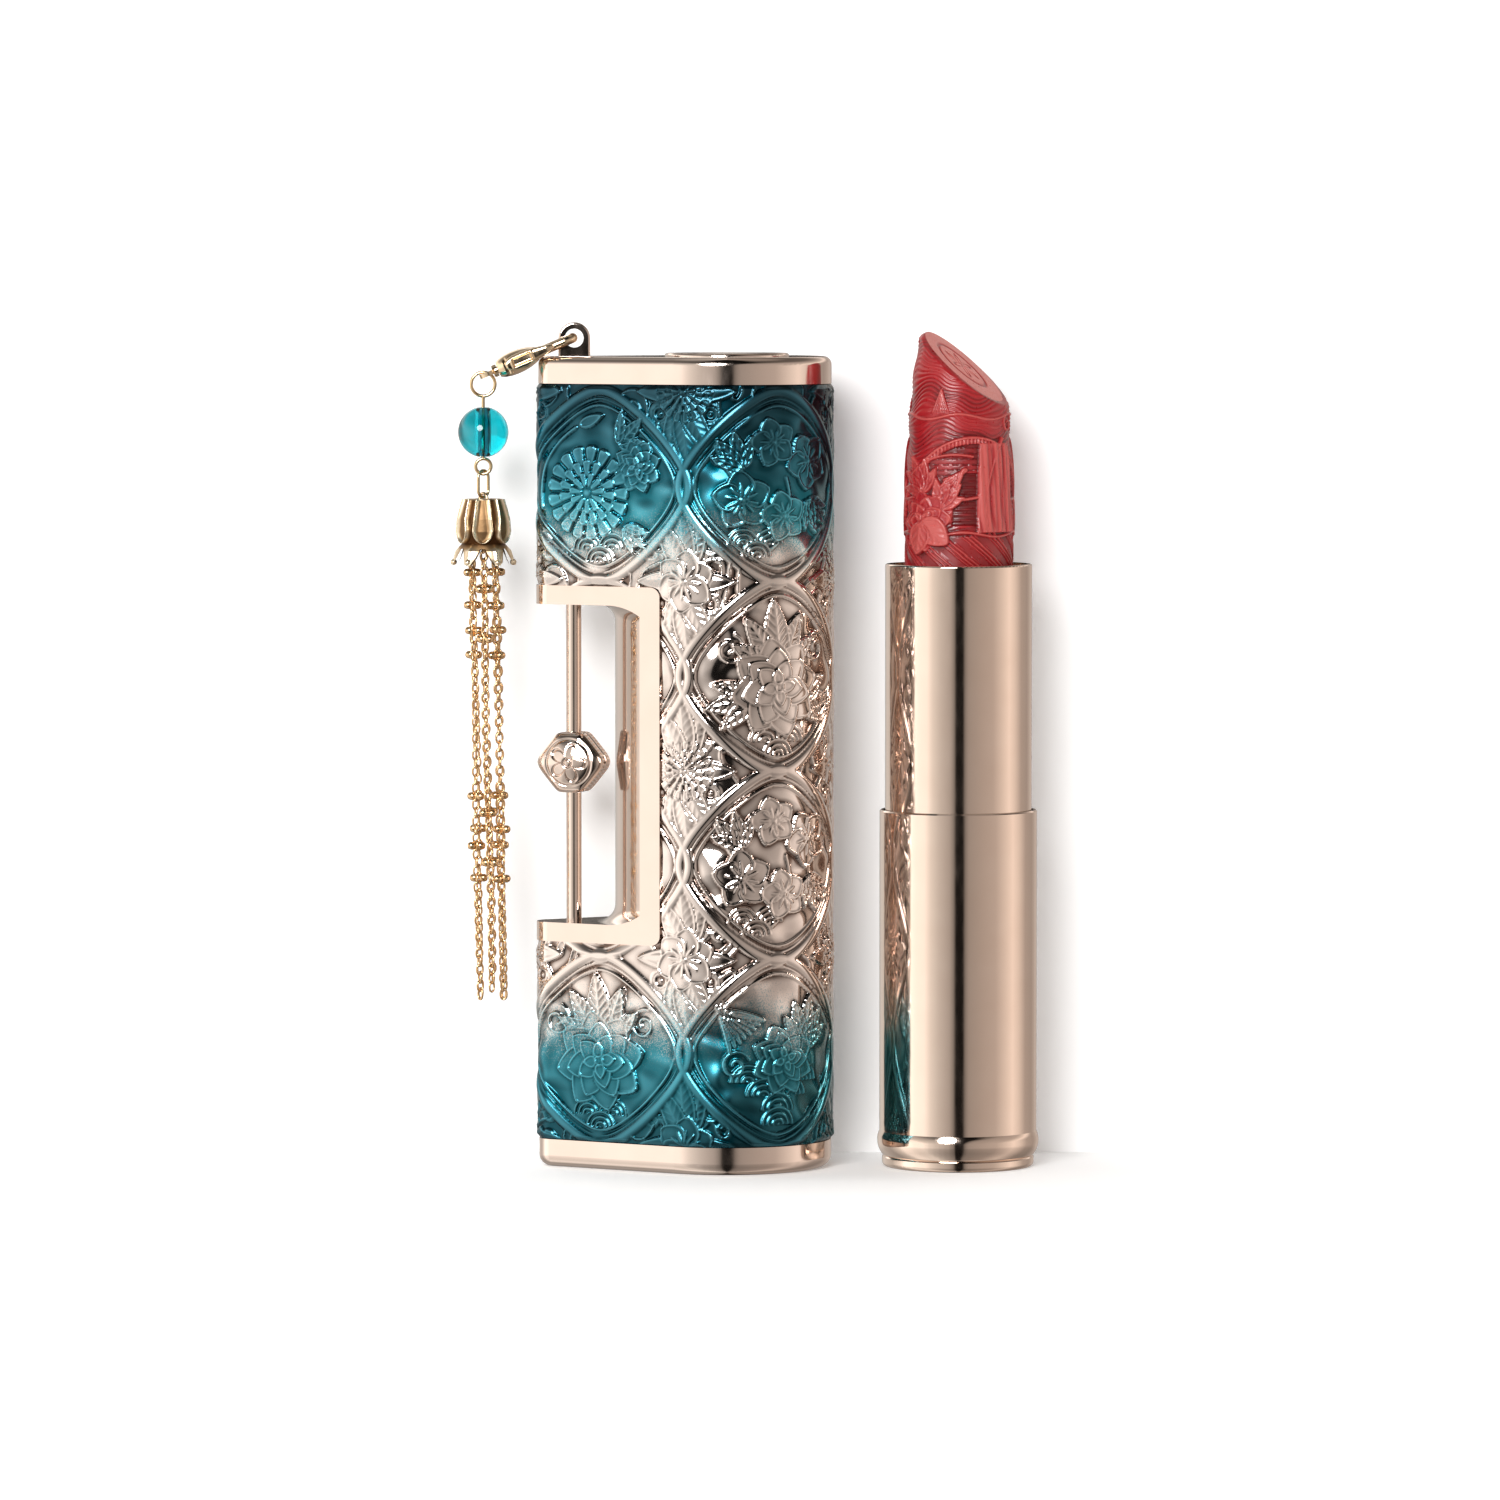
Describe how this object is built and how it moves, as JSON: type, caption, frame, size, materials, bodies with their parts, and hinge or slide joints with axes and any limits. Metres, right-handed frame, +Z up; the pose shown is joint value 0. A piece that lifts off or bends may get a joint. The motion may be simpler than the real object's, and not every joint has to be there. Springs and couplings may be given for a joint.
{
  "type": "lipstick case",
  "caption": "Padlock-shaped embossed metal lipstick case with a framed notch, turning knob, push-out button and hanging bead tassel, with its twist-up lipstick standing extended beside it.",
  "frame": {"origin": "centre of the case's bore at its mouth, on the plane that the case and the lipstick stand on", "axes": "+Z up along the bore, +X towards the lipstick, +Y to the back"},
  "size_m": [0.065, 0.0234, 0.0938],
  "materials": {
    "enamelled_relief": "embossed polished rose gold, teal enamel fading in at both ends",
    "rose_gold": "mirror polish",
    "tube_rose_gold": "mirror polish",
    "liner_plastic": "satin",
    "magnet": "nickel plate",
    "spring_steel": "bright",
    "label_disc": "matte",
    "weight_steel": "turned",
    "mechanism_plastic": "satin",
    "ring_rubber": "matte",
    "cup_plastic": "gloss",
    "lipstick_red": "satin wax",
    "charm_gold": "polished",
    "wire_gold": "bright wire",
    "chain_gold": "bright wire",
    "antique_gold": "aged, dark in the hollows",
    "teal_glass": "clear coloured glass"
  },
  "bodies": {
    "case": {"outer_shell": "enamelled_relief", "bottom_ring": "rose_gold", "top_cap": "rose_gold", "notch_frame": "rose_gold", "lock_bar": "rose_gold", "inner_liner": "liner_plastic", "magnet_ring": "magnet", "guide_bush": "liner_plastic", "eject_spring": "spring_steel"},
    "ejector": {"eject_button": "rose_gold", "eject_plunger": "liner_plastic"},
    "knob": {"knob_front": "rose_gold", "knob_back": "rose_gold"},
    "base": {"base_shell": "tube_rose_gold", "shade_disc": "label_disc", "base_weight": "weight_steel", "base_core": "mechanism_plastic", "friction_ring": "ring_rubber", "slotted_tube": "tube_rose_gold"},
    "sleeve": {"spiral_sleeve": "mechanism_plastic", "sleeve_shell": "tube_rose_gold"},
    "bullet_cup": {"cup": "cup_plastic", "bullet": "lipstick_red"},
    "clasp": {"clasp_body": "charm_gold", "lever_pin": "charm_gold", "lever_spring": "spring_steel"},
    "lever": {"clasp_lever": "charm_gold"},
    "swivel": {"swivel_eye": "charm_gold"},
    "pin": {"eye_pin": "wire_gold"},
    "bead": {"glass_bead": "teal_glass"},
    "link": {"oval_link": "wire_gold"},
    "tassel": {"bead_cap": "antique_gold", "chain_eye": "charm_gold"},
    "strand_1": {"chain_1": "chain_gold"},
    "strand_2": {"chain_2": "chain_gold"},
    "strand_3": {"chain_3": "chain_gold"},
    "strand_4": {"chain_4": "chain_gold"},
    "strand_5": {"chain_5": "chain_gold"},
    "strand_6": {"chain_6": "chain_gold"}
  },
  "joints": [
    {"name": "eject_press", "type": "slide", "parent": "case", "child": "ejector", "axis": [0, 0, -1], "range_m": [0, 0.003], "stiffness_N_per_m": 300, "springref_m": -0.004, "deforming": ["eject_spring"]},
    {"name": "knob_turn", "type": "hinge", "parent": "case", "child": "knob", "pos_m": [-0.017, 0, 0.045], "axis": [0, 0, 1], "continuous": true},
    {"name": "lipstick_lift", "type": "slide", "parent": "case", "child": "base", "axis": [0, 0, 1], "range_m": [0, 0.1]},
    {"name": "sleeve_turn", "type": "hinge", "parent": "base", "child": "sleeve", "pos_m": [0.0257, 0, 0.04], "axis": [0, 0, 1], "range_deg": [0, 540]},
    {"name": "cup_rise", "type": "slide", "parent": "base", "child": "bullet_cup", "axis": [0, 0, 1], "range_m": [-0.02701, 0]},
    {"name": "clasp_swing", "type": "hinge", "parent": "case", "child": "clasp", "pos_m": [-0.0171, 0, 0.092], "axis": [0, 1, 0], "range_deg": [0, 200]},
    {"name": "clasp_gate", "type": "hinge", "parent": "clasp", "child": "lever", "pos_m": [-0.0241, -0.0012, 0.08903], "axis": [-0.3907, 0, 0.9205], "range_deg": [0, 18], "stiffness_Nm_per_rad": 0.002, "springref_deg": -17.19, "deforming": ["lever_spring"]},
    {"name": "swivel_turn", "type": "hinge", "parent": "clasp", "child": "swivel", "pos_m": [-0.0264, 0, 0.08805], "axis": [-0.9205, 0, -0.3907], "range_deg": [-90, 90]},
    {"name": "pin_swing", "type": "hinge", "parent": "swivel", "child": "pin", "pos_m": [-0.0264, 0, 0.08805], "axis": [0, 1, 0], "range_deg": [-2, 60]},
    {"name": "bead_spin", "type": "hinge", "parent": "pin", "child": "bead", "pos_m": [-0.027, 0, 0.0816], "axis": [0, 0, 1], "continuous": true},
    {"name": "link_swing", "type": "hinge", "parent": "pin", "child": "link", "pos_m": [-0.027, 0, 0.0778], "axis": [0, 1, 0], "range_deg": [-2, 60]},
    {"name": "cap_swing", "type": "hinge", "parent": "link", "child": "tassel", "pos_m": [-0.027, 0, 0.0746], "axis": [1, 0, 0], "range_deg": [-30, 30]},
    {"name": "chain_1_swing", "type": "hinge", "parent": "tassel", "child": "strand_1", "pos_m": [-0.0257, 0.00075, 0.0702], "axis": [0.5, -0.866, 0], "range_deg": [0, 5]},
    {"name": "chain_2_swing", "type": "hinge", "parent": "tassel", "child": "strand_2", "pos_m": [-0.027, 0.0015, 0.0702], "axis": [1, 0, 0], "range_deg": [0, 5]},
    {"name": "chain_3_swing", "type": "hinge", "parent": "tassel", "child": "strand_3", "pos_m": [-0.0283, 0.00075, 0.0702], "axis": [0.5, 0.866, 0], "range_deg": [0, 5]},
    {"name": "chain_4_swing", "type": "hinge", "parent": "tassel", "child": "strand_4", "pos_m": [-0.0283, -0.00075, 0.0702], "axis": [-0.5, 0.866, 0], "range_deg": [0, 5]},
    {"name": "chain_5_swing", "type": "hinge", "parent": "tassel", "child": "strand_5", "pos_m": [-0.027, -0.0015, 0.0702], "axis": [-1, 0, 0], "range_deg": [0, 5]},
    {"name": "chain_6_swing", "type": "hinge", "parent": "tassel", "child": "strand_6", "pos_m": [-0.0257, -0.00075, 0.0702], "axis": [-0.5, -0.866, 0], "range_deg": [0, 5]}
  ],
  "couplings": [
    {"joint": "cup_rise", "follows": "sleeve_turn", "m_per_rad": -0.0028648}
  ]
}
